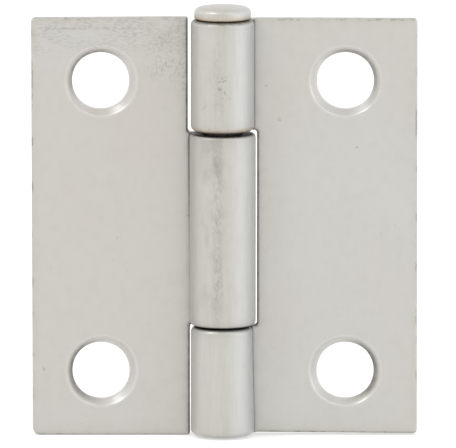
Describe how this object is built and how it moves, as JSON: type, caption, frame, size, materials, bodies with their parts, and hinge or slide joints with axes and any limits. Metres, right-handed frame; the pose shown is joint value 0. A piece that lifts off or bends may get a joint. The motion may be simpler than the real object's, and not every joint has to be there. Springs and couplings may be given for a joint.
{
  "type": "butt hinge",
  "caption": "Small open butt hinge: two stamped steel leaves with countersunk screw holes, rolled round a button-headed pin.",
  "frame": {"origin": "on the pin's axis, level with the lower end of the bottom knuckle, with the hinge lying open", "axes": "+Z along the pin towards its head, -Y out of the front, where the knuckles stand proud and the screw holes are countersunk, +X towards the leaf with two knuckles"},
  "size_m": [0.0351, 0.006, 0.0395],
  "materials": {
    "leaf_plating": "satin zinc plating on stamped sheet steel, with fine scuffs",
    "pin_plating": "satin zinc plating on a headed steel pin"
  },
  "bodies": {
    "fixed_leaf": {"right_leaf": "leaf_plating", "hinge_pin": "pin_plating"},
    "swinging_leaf": {"left_leaf": "leaf_plating"}
  },
  "joints": [
    {"name": "leaf_swing", "type": "hinge", "parent": "fixed_leaf", "child": "swinging_leaf", "pos_m": [0, 0, 0], "axis": [0, 0, 1], "range_deg": [-127, 182]}
  ]
}
